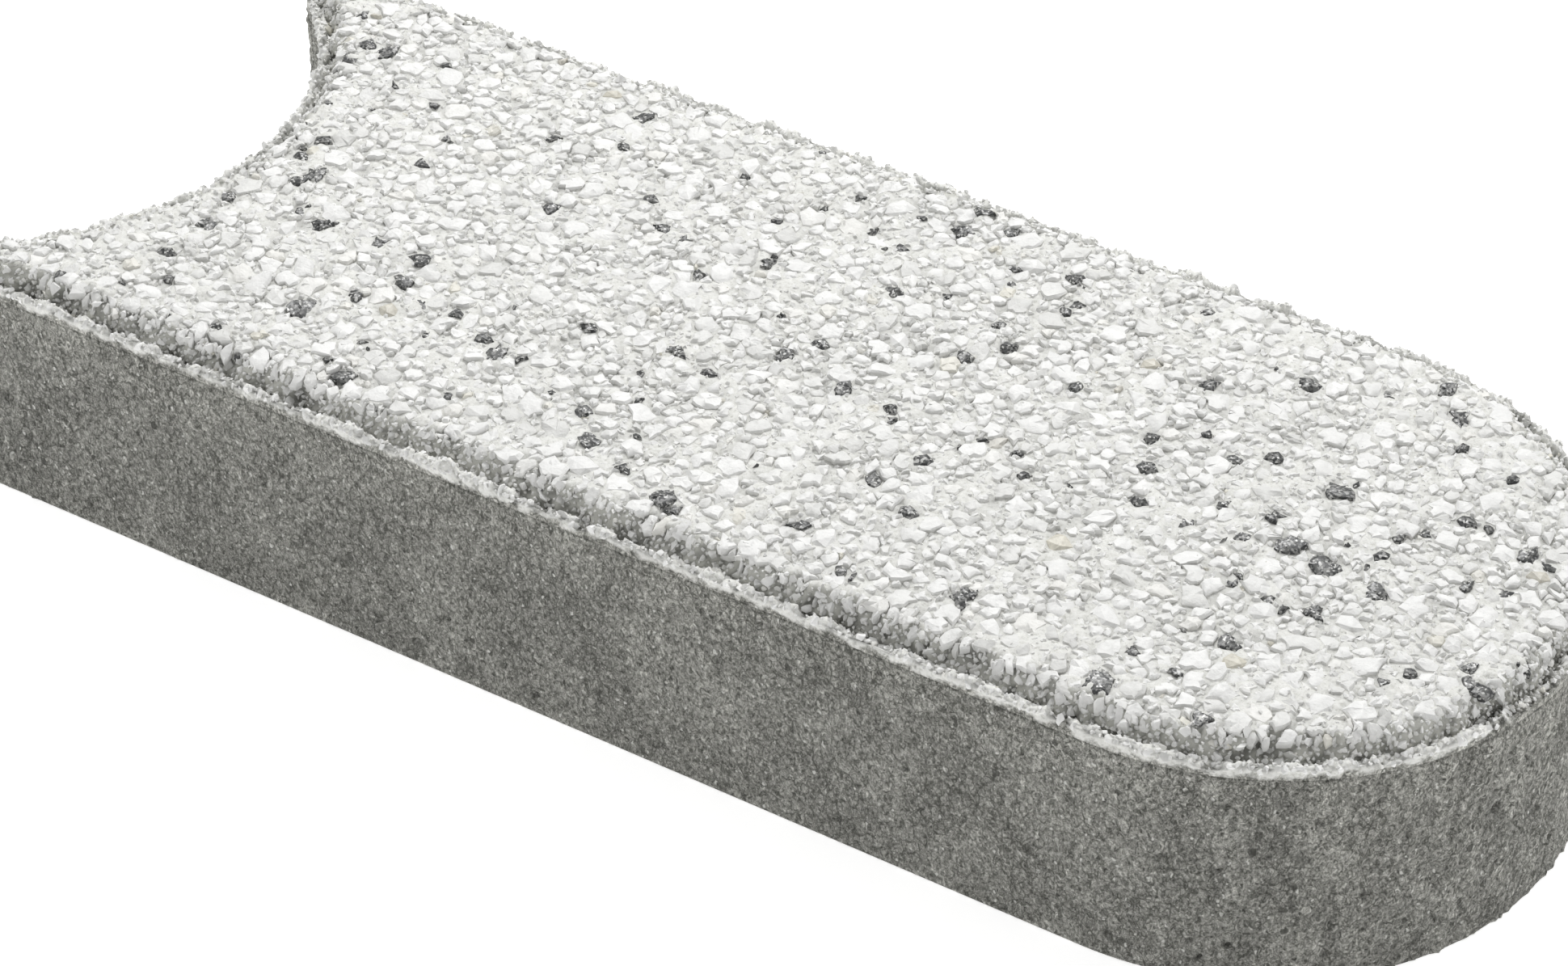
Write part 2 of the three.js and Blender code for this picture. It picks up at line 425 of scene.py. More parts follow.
def pressedPaste(tree, place):
    # pressed grey concrete: the eye gets a fine pepper of dark pores and pale sand, slightly dragged; the
    # pores and the hollows of the relief are darkened with painted shadow
    look = concreteLook
    leaning = addNode(tree, "ShaderNodeMapping", {
        "Vector": place, "Rotation": (0, look["lean"], 0), "Scale": (1, 1, look["drawn"]),
    })
    pepper = addNode(tree, "ShaderNodeTexNoise", {
        "Vector": leaning, "Scale": 1 / look["pepperSize"],
        "Detail": 6.0, "Roughness": 0.78, "Distortion": 1.2,
    })
    paste = addNode(tree, "ShaderNodeValToRGB", {"Fac": pepper})
    setStops(paste.color_ramp, look["paste"])
    bend = addNode(tree, "ShaderNodeTexNoise", {
        "Vector": place, "Scale": 1 / look["bendSize"], "Detail": 3.0,
    }).outputs["Color"]
    bend = addNode(tree, "ShaderNodeVectorMath", {0: bend, "Scale": look["bend"]}, operation="SCALE")
    bent = addNode(tree, "ShaderNodeVectorMath", {0: leaning, 1: bend}, operation="ADD")

    # everything that makes the paste lighter or darker
    cloud = addNode(tree, "ShaderNodeTexNoise", {
        "Vector": leaning, "Scale": 1 / look["cloudSize"], "Detail": 5.0, "Roughness": 0.6,
    })
    clouds = addNode(tree, "ShaderNodeMapRange", {
        "Value": cloud, "From Min": 0.32, "From Max": 0.68, "To Min": 0.87, "To Max": 1.16,
    })
    sand = addNode(tree, "ShaderNodeTexVoronoi", {"Vector": bent, "Scale": 1 / look["sandSize"]})
    pick = addNode(tree, "ShaderNodeSeparateXYZ", {0: sand.outputs["Color"]}).outputs
    flakes = addNode(tree, "ShaderNodeMapRange", {"Value": pick[2], "To Min": 0.91, "To Max": 1.11})
    height = addNode(tree, "ShaderNodeSeparateXYZ", {0: place}).outputs[2]
    slurry = addNode(tree, "ShaderNodeMapRange", {
        "Value": height, "From Min": coreTop - look["slurry"], "From Max": coreTop,
        "To Min": 1.0, "To Max": look["slurryShade"],
    })
    # painted shade in the hollows and pits of the relief, and painted light on its proud parts
    relief = addNode(tree, "ShaderNodeAttribute", attribute_name="relief").outputs["Fac"]
    paintedReliefShade = addNode(tree, "ShaderNodeMapRange", {
        "Value": relief, "From Min": -0.55, "From Max": 0.4, "To Min": 0.74, "To Max": 1.12,
    })
    fleck = addNode(tree, "ShaderNodeTexNoise", {
        "Vector": bent, "Scale": 1 / look["fleckSize"], "Detail": 3.0, "Roughness": 0.75,
    })
    flecks = addNode(tree, "ShaderNodeMapRange", {
        "Value": fleck, "From Min": 0.34, "From Max": 0.62, "To Min": 0.48, "To Max": 1.4,
    })
    shade = clouds
    for part in (flakes, slurry, paintedReliefShade, flecks):
        shade = addNode(tree, "ShaderNodeMath", {0: shade, 1: part}, operation="MULTIPLY")
    shade = addNode(tree, "ShaderNodeCombineColor", {0: shade, 1: shade, 2: shade})
    colour = addNode(tree, "ShaderNodeMix", {
        "Factor": 1.0, 6: paste, 7: shade,
    }, data_type="RGBA", blend_type="MULTIPLY").outputs[2]

    # how much of each point is a sand grain, a painted pore shadow or a seam between clots of paste
    speck = addNode(tree, "ShaderNodeMapRange", {
        "Value": sand.outputs["Distance"], "From Min": 0.16, "From Max": 0.26, "To Min": 1.0, "To Max": 0.0,
    })
    pale = addNode(tree, "ShaderNodeMath", {0: pick[0], 1: look["paleFrom"]}, operation="GREATER_THAN")
    pale = addNode(tree, "ShaderNodeMath", {0: speck, 1: pale}, operation="MULTIPLY")
    dark = addNode(tree, "ShaderNodeMath", {0: pick[1], 1: look["darkFrom"]}, operation="GREATER_THAN")
    dark = addNode(tree, "ShaderNodeMath", {0: speck, 1: dark}, operation="MULTIPLY")
    # painted shadow: dark pore spots in the colour, where no real pit is cut
    holes = addNode(tree, "ShaderNodeTexVoronoi", {"Vector": bent, "Scale": 1 / look["poreSpacing"]})
    wide = addNode(tree, "ShaderNodeSeparateXYZ", {0: holes.outputs["Color"]})
    wide = addNode(tree, "ShaderNodeMapRange", {
        "Value": wide, "From Min": 0.62, "From Max": 1.0, "To Min": 0.0, "To Max": 0.17,
    })
    pore = addNode(tree, "ShaderNodeMath", {0: holes.outputs["Distance"], 1: wide}, operation="LESS_THAN")
    pore = addNode(tree, "ShaderNodeMath", {0: pore, 1: look["poreShade"]}, operation="MULTIPLY")
    seam = addNode(tree, "ShaderNodeTexVoronoi", {
        "Vector": bent, "Scale": 1 / look["seamSpacing"],
    }, feature="DISTANCE_TO_EDGE").outputs["Distance"]
    seam = addNode(tree, "ShaderNodeMapRange", {
        "Value": seam, "From Min": 0.015, "From Max": 0.055, "To Min": 1.0, "To Max": 0.0,
    })
    patch = addNode(tree, "ShaderNodeMapRange", {
        "Value": cloud, "From Min": 0.45, "From Max": 0.58, "To Min": 0.7, "To Max": 0.1,
    })
    seam = addNode(tree, "ShaderNodeMath", {0: seam, 1: patch}, operation="MULTIPLY")
    for amount, tint in ((pale, "paleSand"), (dark, "darkSand"), (pore, "pore"), (seam, "seam")):
        colour = addNode(tree, "ShaderNodeMix", {
            "Factor": amount, 6: colour, 7: linear(look[tint]),
        }, data_type="RGBA").outputs[2]
    return colour, pepper


def castConcrete():
    look = concreteLook
    material, tree, paint = newMaterial("castConcrete")
    place = addNode(tree, "ShaderNodeTexCoord").outputs["Object"]
    colour, height = pressedPaste(tree, place)
    bump = addNode(tree, "ShaderNodeBump", {"Height": height, "Strength": 0.8, "Distance": look["bumpDepth"]})
    fillInputs(tree, paint, {
        "Base Color": colour, "Normal": bump, "Roughness": look["roughness"], "IOR": look["ior"],
    })
    return material


mortarLook = {
    "chalk": ((0.32, "#C6C6BF"), (0.44, "#E2E2DD"), (0.60, "#EEEEEA")),
    "gritSize": 0.8 * mm, "bumpDepth": 0.4 * mm, "roughness": 0.88,
    "smearSize": 3.2 * mm, "smear": 5.5 * mm,  # how far up and down the grey slurry wanders
    "tornSmear": 1.1 * mm,  # and how much higher it stands where the edge is torn
    "whiteFrom": 3.3 * mm, "whiteAt": 4.2 * mm,  # above the core
    # painted shade: the bevel wall, turned away from the key light, is greyed with this colour
    "bevelPaste": "#B4B4AC", "bevelShade": 0.75,
}


def whiteMortar():
    # white cement washed back to its sand: pale, chalky, with open pores, and grey core slurry on its skirt;
    # painted shade darkens its pits and hollows and greys its bevel
    look = mortarLook
    material, tree, paint = newMaterial("whiteMortar")
    place = addNode(tree, "ShaderNodeTexCoord").outputs["Object"]
    grit = addNode(tree, "ShaderNodeTexNoise", {
        "Vector": place, "Scale": 1 / look["gritSize"], "Detail": 5.0, "Roughness": 0.7,
    })
    chalk = addNode(tree, "ShaderNodeValToRGB", {"Fac": grit})
    setStops(chalk.color_ramp, look["chalk"])
    grey = pressedPaste(tree, place)[0]
    height = addNode(tree, "ShaderNodeSeparateXYZ", {0: place}).outputs[2]
    drift = addNode(tree, "ShaderNodeTexNoise", {
        "Vector": place, "Scale": 1 / look["smearSize"], "Detail": 6.0,
    })
    drift = addNode(tree, "ShaderNodeMath", {0: drift, 1: look["smear"]}, operation="MULTIPLY")
    level = addNode(tree, "ShaderNodeMath", {0: height, 1: drift}, operation="ADD")
    torn = addNode(tree, "ShaderNodeAttribute", attribute_name="torn").outputs["Fac"]
    torn = addNode(tree, "ShaderNodeMath", {0: torn, 1: look["tornSmear"]}, operation="MULTIPLY")
    level = addNode(tree, "ShaderNodeMath", {0: level, 1: torn}, operation="SUBTRACT")
    white = addNode(tree, "ShaderNodeMapRange", {
        "Value": level, "From Min": coreTop + look["whiteFrom"], "From Max": coreTop + look["whiteAt"],
    })
    # the bevel's paste is mixed towards grey as painted shade
    bevel = addNode(tree, "ShaderNodeAttribute", attribute_name="bevel").outputs["Fac"]
    bevel = addNode(tree, "ShaderNodeMath", {0: bevel, 1: look["bevelShade"]}, operation="MULTIPLY")
    paste = addNode(tree, "ShaderNodeMix", {
        "Factor": bevel, 6: chalk, 7: linear(look["bevelPaste"]),
    }, data_type="RGBA").outputs[2]
    # painted shade: the mortar is darkened in the pits and hollows of its relief
    relief = addNode(tree, "ShaderNodeAttribute", attribute_name="relief").outputs["Fac"]
    paintedReliefShade = addNode(tree, "ShaderNodeMapRange", {
        "Value": relief, "From Min": -0.5, "From Max": 0.15, "To Min": 0.55, "To Max": 1.0,
    })
    paintedReliefShade = addNode(tree, "ShaderNodeCombineColor", {0: paintedReliefShade, 1: paintedReliefShade, 2: paintedReliefShade})
    paste = addNode(tree, "ShaderNodeMix", {
        "Factor": 1.0, 6: paste, 7: paintedReliefShade,
    }, data_type="RGBA", blend_type="MULTIPLY").outputs[2]
    colour = addNode(tree, "ShaderNodeMix", {"Factor": white, 6: grey, 7: paste}, data_type="RGBA").outputs[2]
    bump = addNode(tree, "ShaderNodeBump", {"Height": grit, "Strength": 0.6, "Distance": look["bumpDepth"]})
    fillInputs(tree, paint, {"Base Color": colour, "Normal": bump, "Roughness": look["roughness"]})
    return material


marbleLook = {
    "tones": ((0.0, "#D9D9D6"), (0.08, "#E3E3E0"), (0.4, "#ECECEA"), (0.9, "#F1F1EF"), (0.99, "#ECEBE6"),
              (1.0, "#E2DFD2")),
    "veins": 0.10, "veinSize": 2.2 * mm,
    "grain": 0.9 * mm, "bumpDepth": 0.26 * mm, "roughness": 0.5,
}
quartzLook = {
    "tones": ((0.0, "#C2BFB5"), (0.5, "#D8D4C6"), (1.0, "#CAC8C1")),
    "veins": 0.22, "veinSize": 1.2 * mm,
    "grain": 0.6 * mm, "bumpDepth": 0.12 * mm, "roughness": 0.42,
}


def crushedStone(name, look, toneByPlace=False):
    # broken stone, each piece with a tone of its own, darkened a little along soft veins
    material, tree, paint = newMaterial(name)
    place = addNode(tree, "ShaderNodeTexCoord").outputs["Object"]
    if toneByPlace:
        tone = addNode(tree, "ShaderNodeTexNoise", {"Vector": place, "Scale": 1 / (20 * mm), "Detail": 0.0})
    else:
        tone = addNode(tree, "ShaderNodeAttribute", attribute_name="tone").outputs["Fac"]
    choice = addNode(tree, "ShaderNodeValToRGB", {"Fac": tone})
    setStops(choice.color_ramp, look["tones"])
    veins = addNode(tree, "ShaderNodeTexNoise", {
        "Vector": place, "Scale": 1 / look["veinSize"], "Detail": 6.0, "Roughness": 0.65, "Distortion": 0.6,
    })
    worn = addNode(tree, "ShaderNodeMapRange", {
        "Value": veins, "From Min": 0.34, "From Max": 0.58, "To Min": 1 - look["veins"], "To Max": 1.0,
    })
    shade = addNode(tree, "ShaderNodeCombineColor", {0: worn, 1: worn, 2: worn})
    colour = addNode(tree, "ShaderNodeMix", {
        "Factor": 1.0, 6: choice, 7: shade,
    }, data_type="RGBA", blend_type="MULTIPLY").outputs[2]
    fine = addNode(tree, "ShaderNodeTexNoise", {
        "Vector": place, "Scale": 1 / look["grain"], "Detail": 5.0, "Roughness": 0.62,
    })
    bump = addNode(tree, "ShaderNodeBump", {"Height": fine, "Strength": 0.75, "Distance": look["bumpDepth"]})
    fillInputs(tree, paint, {"Base Color": colour, "Normal": bump, "Roughness": look["roughness"]})
    return material


basaltLook = {
    "crystal": 0.42 * mm, "bumpDepth": 0.25 * mm, "gloss": (0.25, 0.65),
    # the greys are the crystals' own; the last, palest face colour is a painted glint
    "faces": ((0.0, "#2D2E2E"), (0.2, "#434444"), (0.42, "#60615F"), (0.66, "#8A8A88"), (0.9, "#C6C6C3")),
}


def brokenBasalt():
    # fresh-broken basalt: near black with crystal faces of every grey, the palest of them painted glints where
    # a face catches the light
    look = basaltLook
    material, tree, paint = newMaterial("brokenBasalt")
    place = addNode(tree, "ShaderNodeTexCoord").outputs["Object"]
    crystal = addNode(tree, "ShaderNodeTexVoronoi", {"Vector": place, "Scale": 1 / look["crystal"]})
    pick = addNode(tree, "ShaderNodeSeparateXYZ", {0: crystal.outputs["Color"]}).outputs
    face = addNode(tree, "ShaderNodeValToRGB", {"Fac": pick[0]})
    face.color_ramp.interpolation = "CONSTANT"
    setStops(face.color_ramp, look["faces"])
    low, high = look["gloss"]
    gloss = addNode(tree, "ShaderNodeMapRange", {"Value": pick[1], "To Min": low, "To Max": high})
    bump = addNode(tree, "ShaderNodeBump", {
        "Height": pick[2], "Strength": 0.7, "Distance": look["bumpDepth"],
    })
    fillInputs(tree, paint, {"Base Color": face, "Roughness": gloss, "Normal": bump})
    return material


coreLook = {
    "rowHeight": 0.68 * mm,
    "bedSpacing": 2.4 * mm, "bedMargin": 1.8 * mm,  # of the points inside the bed face
    "lidSpacing": 8 * mm, "lidMargin": 4 * mm,  # and inside the hidden upper face
    "grainSize": 1.6 * mm, "grainDepth": 1.3 * mm,
    "waveSize": 30 * mm, "waveDepth": 0.5 * mm,
    "streakSize": 2.8 * mm, "streakDepth": 2.2 * mm,
    "pitSpacing": 4.2 * mm, "pitRadius": 1.5 * mm, "pitDepth": 1.4 * mm,
    "edgeWear": 0.5 * mm,
    "sideRough": 0.55, "endRough": 1.4, "bedRough": 0.6,  # the curved ends are coarser than the sides
    "sideDrag": 0.12,  # share of the ends' drag streaks on the straight sides
    "endBlend": 0.6,  # share of the half width over which the half-round end gets its full roughness
    "bayReach": 20 * mm, "bayBlend": 10 * mm,  # the same for the concave end, from its horns inwards
    "seed": 3.0,
}


def makeCore(material, weather):
    loop = planLoop(0)
    count = len(loop)
    rows = round((coreTop - coreLow.z) / coreLook["rowHeight"]) + 1
    levels = np.linspace(coreLow.z, coreTop, rows)
    wear = coreLook["edgeWear"]
    points = []
    for z in levels:
        inset = max(0.0, wear - (z - coreLow.z)) ** 2 / wear  # the bed edge is worn round
        ring = planLoop(inset) if inset else loop
        points.append(np.column_stack([ring, np.full(count, z)]))
    faces = ringFaces(rows, count)
    under, bed = fillLoop(points[0][:, :2], coreLook["bedSpacing"], coreLook["bedMargin"])
    bedBase = rows * count
    faces += [tuple(i if i < count else i - count + bedBase for i in face)[::-1] for face in bed]
    points.append(np.column_stack([under, np.full(len(under), coreLow.z)]))
    over, lid = fillLoop(loop, coreLook["lidSpacing"], coreLook["lidMargin"])
    lidBase = bedBase + len(under)
    lastRing = (rows - 1) * count
    faces += [tuple(i + lastRing if i < count else i - count + lidBase for i in face) for face in lid]
    points.append(np.column_stack([over, np.full(len(over), coreTop)]))
    points = np.concatenate(points)
    x, z = points[:, 0], points[:, 2]
    atEnd = np.clip((x - endCentreX) / (coreLook["endBlend"] * halfWidth), 0, 1)
    inBay = np.clip((-halfLength + coreLook["bayReach"] - x) / coreLook["bayBlend"], 0, 1)
    curved = np.maximum(atEnd, inBay)
    side = np.arange(len(points)) < bedBase
    free = np.where((z <= coreLow.z) | (z >= coreTop), 0.0, 1.0)  # the first and last rows stay put
    sideRough, endRough = coreLook["sideRough"], coreLook["endRough"]
    rough = np.where(side, (sideRough + (endRough - sideRough) * curved) * free, coreLook["bedRough"])
    rough[lidBase:] = 0
    drag = np.where(side, curved * free + coreLook["sideDrag"] * free, 0)
    base = makeObject("coreBase", points, faces, {"rough": rough, "drag": drag})
    mesh = bakeNodes(base, weather, {
        "Grain Size": coreLook["grainSize"], "Grain Depth": coreLook["grainDepth"],
        "Wave Size": coreLook["waveSize"], "Wave Depth": coreLook["waveDepth"],
        "Streak Size": coreLook["streakSize"], "Streak Depth": coreLook["streakDepth"],
        "Pit Spacing": coreLook["pitSpacing"], "Pit Radius": coreLook["pitRadius"],
        "Pit Depth": coreLook["pitDepth"], "Seed": coreLook["seed"], "Material": material,
    }, "coreBody")
    bpy.data.objects.remove(base)
    return mesh


facingLook = {
    # every ring, from the seam up over the lip and the bevel to the top: its zone, inset and height above the
    # core in mm, what share of the lip's and of the bevel's wandering it follows, and how rough it is
    "rings": (
        ("skirt", 0.0, 0.0, 0, 0, 0),
        ("skirt", 0.0, 0.5, 0, 0, 0),
        ("skirt", 0.0, 1.0, 0, 0, 0.15),
        ("skirt", 0.0, 1.5, 0.25, 0, 0.3),
        ("lip", 0.0, 1.9, 0.5, 0, 0.45),
        ("lip", 0.06, 2.25, 0.8, 0, 1.6),
        ("lip", 0.3, 2.45, 1, 0, 1.6),
        ("lip", 0.9, 2.5, 1, 0, 1.6),
        ("lip", 1.4, 2.4, 1, 0, 1.6),
        ("lip", 1.75, 1.9, 0.5, 0.3, 1.6),
        ("bevel", 2.1, 1.2, 0, 0.6, 1.4),
        ("bevel", 2.6, 0.9, 0, 1, 1.4),
        ("bevel", 3.0, 1.4, 0, 1, 1.4),
        ("bevel", 3.4, 2.1, 0, 1, 1.4),
        ("bevel", 3.8, 2.8, 0, 1, 1.4),
        ("bevel", 4.2, 3.6, 0, 1, 1.4),
        ("bevel", 4.7, 4.4, 0, 1, 1.4),
        ("bevel", 5.4, 4.9, 0, 1, 1.4),
        ("flat", 6.2, 5.1, 0, 0.5, 1.6),
        ("flat", 7.1, 5.15, 0, 0, 1.6),
    ),
    "topRough": 0.7,
    "placeSeed": 12,
    "lipKnot": 1.7 * mm, "lipSwing": 0.34 * mm,  # the lip goes up and down
    "lossKnot": 5 * mm, "lossFrom": 0.85, "lossDepth": 1.0 * mm,  # and is broken off in places
    "tornFrom": 0.9, "tornBlend": 0.8 * mm, "tornDepth": 0.55 * mm,  # and torn at the stone's rounded tip
    "bevelKnot": 3.6 * mm, "bevelSwing": 0.55 * mm,  # the bevel wanders in and out
    "topSpacing": 1.3 * mm, "topMargin": 0.8 * mm,
    "underSpacing": 6 * mm, "underMargin": 4 * mm,
    "grainSize": 2.2 * mm, "grainDepth": 2.8 * mm,
    "waveSize": 9 * mm, "waveDepth": 1.6 * mm,
    "pitSpacing": 2.6 * mm, "pitRadius": 1.1 * mm, "pitDepth": 0.8 * mm,
    "weatherSeed": 8.0,
}


def closedWave(random, count, knot):
    # a smooth random wave along the closed outline, of unit spread
    knots = random.normal(0, 1, round(count * outline["spacing"] / knot))
    where = np.arange(count) / count * len(knots)
    wave = np.interp(where, np.arange(len(knots) + 1), np.append(knots, knots[0]))
    return wave / 2 + (np.roll(wave, 1) + np.roll(wave, -1)) / 4


def makeFacing(material, weather):
    look = facingLook
    zones, insets, heights, lipShares, bevelShares, roughs = zip(*look["rings"])
    outer = planLoop(0)
    step = 4 * mm
    inward = (planLoop(step) - outer) / step
    count = len(outer)
    random = np.random.default_rng(look["placeSeed"])
    rise = closedWave(random, count, look["lipKnot"]) * look["lipSwing"]
    loss = closedWave(random, count, look["lossKnot"])
    rise -= np.clip((loss - look["lossFrom"]) * 2, 0, 1) * look["lossDepth"]
    torn = np.clip((outer[:, 0] - endCentreX - look["tornFrom"] * halfWidth) / look["tornBlend"], 0, 1)
    rise -= torn * look["tornDepth"]
    shift = closedWave(random, count, look["bevelKnot"]) * look["bevelSwing"]
    loops, points = [], []
    for inset, height, lipShare, bevelShare in zip(insets, heights, lipShares, bevelShares):
        loops.append(outer + inward * (inset * mm + shift * bevelShare)[:, None])
        points.append(np.column_stack([loops[-1], coreTop + height * mm + rise * lipShare]))
    faces = ringFaces(len(loops), count)
    inner, fill = fillLoop(loops[-1], look["topSpacing"], insets[-1] * mm + look["topMargin"])
    topBase = len(loops) * count
    lastRing = topBase - count
    faces += [tuple(i + lastRing if i < count else i - count + topBase for i in face) for face in fill]
    points.append(np.column_stack([inner, np.full(len(inner), coreTop + heights[-1] * mm)]))
    under, bedFill = fillLoop(loops[0], look["underSpacing"], look["underMargin"])
    underBase = topBase + len(inner)
    faces += [tuple(i if i < count else i - count + underBase for i in face)[::-1] for face in bedFill]
    points.append(np.column_stack([under, np.full(len(under), coreTop)]))
    attributes = {"rough": np.concatenate([np.repeat(roughs, count), np.full(len(inner), look["topRough"])])}
    for zone in ("lip", "bevel", "flat"):
        inZone = np.repeat([own == zone for own in zones], count)
        attributes[zone] = np.append(inZone, np.full(len(inner), zone == "flat"))
    attributes["torn"] = np.append(np.tile(torn, len(loops)), np.zeros(len(inner)))
    attributes["drag"] = np.zeros(underBase)
    for name, values in attributes.items():
        attributes[name] = np.append(values, np.zeros(len(under)))
    base = makeObject("facingBase", np.concatenate(points), faces, attributes)
    mesh = bakeNodes(base, weather, {
        "Grain Size": look["grainSize"], "Grain Depth": look["grainDepth"],
        "Wave Size": look["waveSize"], "Wave Depth": look["waveDepth"],
        "Streak Size": 1 * mm, "Streak Depth": 0.0,
        "Pit Spacing": look["pitSpacing"], "Pit Radius": look["pitRadius"], "Pit Depth": look["pitDepth"],
        "Seed": look["weatherSeed"], "Material": material,
    }, "facingSkin")
    bpy.data.objects.remove(base)
    return mesh


packing = {
    "seed": 41,
    "cell": 0.2 * mm,  # raster on which the stones claim their ground
    "reach": 1.6,  # how far past its own ellipse a stone may grow to meet its neighbours
    "closeness": 0.8,  # least distance between two centres, as a share of the two mean radii
    "crevice": 0.14 * mm,
    "groove": 3.3 * mm,  # about how near to the outline a stone may come
    "ragged": 3.2 * mm, "raggedCells": 8,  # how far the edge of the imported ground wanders, and in what steps
    "coarseInset": 0.8 * mm,  # coarse stones may pass their own edge by this much
    "warp": 0.34 * mm, "warpWaves": (1.3 * mm, 3.4 * mm),  # how crooked the outlines are, in what waves
    # in mm: long is half a stone's length, top its height against the proudest, edge how far inside it starts
    "classes": {
        "coarse": {"long": (1.9, 3.5), "slim": (0.42, 0.8), "top": (-0.3, 0.0), "edge": 5.2,
                   "throws": 2600, "corners": 13},
        "middle": {"long": (1.05, 2.1), "slim": (0.5, 0.9), "top": (-0.5, -0.05), "edge": 4.8,
                   "throws": 28000, "corners": 9},
        "fine": {"long": (0.55, 1.1), "slim": (0.55, 1.0), "top": (-0.6, -0.1), "edge": 4.2,
                 "throws": 90000, "corners": 7},
    },
    "edgeRoom": 0.4,  # share of its short half that a stone also stays inside its edge
    "longestReach": 6 * mm, "leastReach": 0.45 * mm,  # a stone with less ground is left out
    "cornerSwing": 0.13,  # how uneven the angles between a stone's corners are
    "mostStones": 24000,
    "basaltShare": {"coarse": 0.06, "middle": 0.04, "fine": 0.01},
    "pebbleShare": {"coarse": 0.0, "middle": 0.002, "fine": 0.004},
    "mostTriangles": 180000,  # a piece with more is parted
}


def throwStones(random):
    # larger stones first, then ever smaller ones into what room is left; the frame's grains are there already
    stones = np.zeros((packing["mostStones"], 6))  # x, y, long half, short half, turn, mean radius
    group = []
    for name in frame["nodes"]:
        if name.startswith(("basalt", "marble", "quartz")):
            low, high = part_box(name)
            halfX, halfY = (high.x - low.x) / 2, (high.y - low.y) / 2
            middleX, middleY = (low.x + high.x) / 2, (low.y + high.y) / 2
            stones[len(group)] = middleX, middleY, halfX, halfY, 0, math.sqrt(halfX * halfY)
            group.append("frame")
    for name, kind in packing["classes"].items():
        throws = kind["throws"]
        px = random.uniform(-halfLength, halfLength, throws)
        py = random.uniform(-halfWidth, halfWidth, throws)
        longHalf = random.uniform(*kind["long"], throws) * mm
        shortHalf = longHalf * random.uniform(*kind["slim"], throws)
        angle = random.uniform(0, math.pi, throws)
        radius = np.sqrt(longHalf * shortHalf)
        least = kind["edge"] * mm + packing["edgeRoom"] * shortHalf
        for i in np.flatnonzero(depthInside(px, py) > least):
            laid = stones[:len(group)]
            away = np.hypot(laid[:, 0] - px[i], laid[:, 1] - py[i])
            if np.all(away > packing["closeness"] * (laid[:, 5] + radius[i])):
                stones[len(group)] = px[i], py[i], longHalf[i], shortHalf[i], angle[i], radius[i]
                group.append(name)
    return (*stones[:len(group), :5].T, np.array(group))


def crossWaves(random, x, y, count=12):
    # a smooth random field of unit spread: a few waves that run in random directions
    total = np.zeros_like(x)
    for _ in range(count):
        way = random.uniform(0, 2 * math.pi)
        pace = 2 * math.pi / random.uniform(*packing["warpWaves"])
        total += np.sin(pace * (x * math.cos(way) + y * math.sin(way)) + random.uniform(0, 2 * math.pi))
    return total / math.sqrt(count / 2)


def claimGround(x, y, a, b, turn, group, random):
    # every raster cell goes to the stone whose ellipse it is deepest in, or to nobody
    nobody = -1
    isCoarse = np.append(group == "coarse", False)  # the last one is nobody's
    cell = packing["cell"]
    columns = math.ceil(2 * halfLength / cell)
    rows = math.ceil(2 * halfWidth / cell)
    best = np.full((rows, columns), packing["reach"])
    owner = np.full((rows, columns), nobody)
    cellX = -halfLength + (np.arange(columns) + 0.5) * cell
    cellY = -halfWidth + (np.arange(rows) + 0.5) * cell
    gridX, gridY = np.meshgrid(cellX, cellY)
    bentX = gridX + packing["warp"] * crossWaves(random, gridX, gridY)
    bentY = gridY + packing["warp"] * crossWaves(random, gridX, gridY)
    for i in range(len(x)):
        span = packing["reach"] * a[i]
        c0, c1 = np.searchsorted(cellX, (x[i] - span, x[i] + span))
        r0, r1 = np.searchsorted(cellY, (y[i] - span, y[i] + span))
        dx = bentX[r0:r1, c0:c1] - x[i]
        dy = bentY[r0:r1, c0:c1] - y[i]
        u = dx * math.cos(turn[i]) + dy * math.sin(turn[i])
        v = -dx * math.sin(turn[i]) + dy * math.cos(turn[i])
        depth = np.hypot(u / a[i], v / b[i])
        nearer = depth < best[r0:r1, c0:c1]
        best[r0:r1, c0:c1][nearer] = depth[nearer]
        owner[r0:r1, c0:c1][nearer] = i
    block = packing["raggedCells"]
    wander = packing["ragged"] * (random.random((rows // block + 2, columns // block + 2)) - 0.5)
    wander = np.kron(wander, np.ones((block, block)))[:rows, :columns]
    depth = depthInside(gridX, gridY)
    coarseEdge = packing["classes"]["coarse"]["edge"] * mm - packing["coarseInset"]
    owner[(depth < coarseEdge + wander) & isCoarse[owner]] = nobody
    owner[depth < packing["groove"] + wander / 2] = nobody
    return owner


def groundUnder(x, y):
    # the mortar's height and its slope along x and y, over the lip, the bevel and the flat
    profile = np.array([ring[1:3] for ring in facingLook["rings"]]) * mm
    step = 0.3 * mm
    depth = depthInside(x, y)
    rise = np.interp(depth, profile[:, 0], profile[:, 1])
    steepness = (np.interp(depth + step, profile[:, 0], profile[:, 1])
                 - np.interp(depth - step, profile[:, 0], profile[:, 1])) / (2 * step)
    alongX = (depthInside(x + step, y) - depthInside(x - step, y)) / (2 * step)
    alongY = (depthInside(x, y + step) - depthInside(x, y - step)) / (2 * step)
    return coreTop + rise, np.stack([steepness * alongX, steepness * alongY], 1)


def radialReach(owner, index, x, y, angles):
    # how far each stone's ground runs from its centre, along each angle
    cell = packing["cell"]
    steps = np.arange(0, packing["longestReach"], cell / 2)
    px = x[:, None, None] + np.cos(angles)[:, :, None] * steps
    py = y[:, None, None] + np.sin(angles)[:, :, None] * steps
    column = np.clip(((px + halfLength) / cell).astype(int), 0, owner.shape[1] - 1)
    row = np.clip(((py + halfWidth) / cell).astype(int), 0, owner.shape[0] - 1)
    own = owner[row, column] == index[:, None, None]
    own[:, :, -1] = False
    return steps[np.argmin(own, axis=2)]


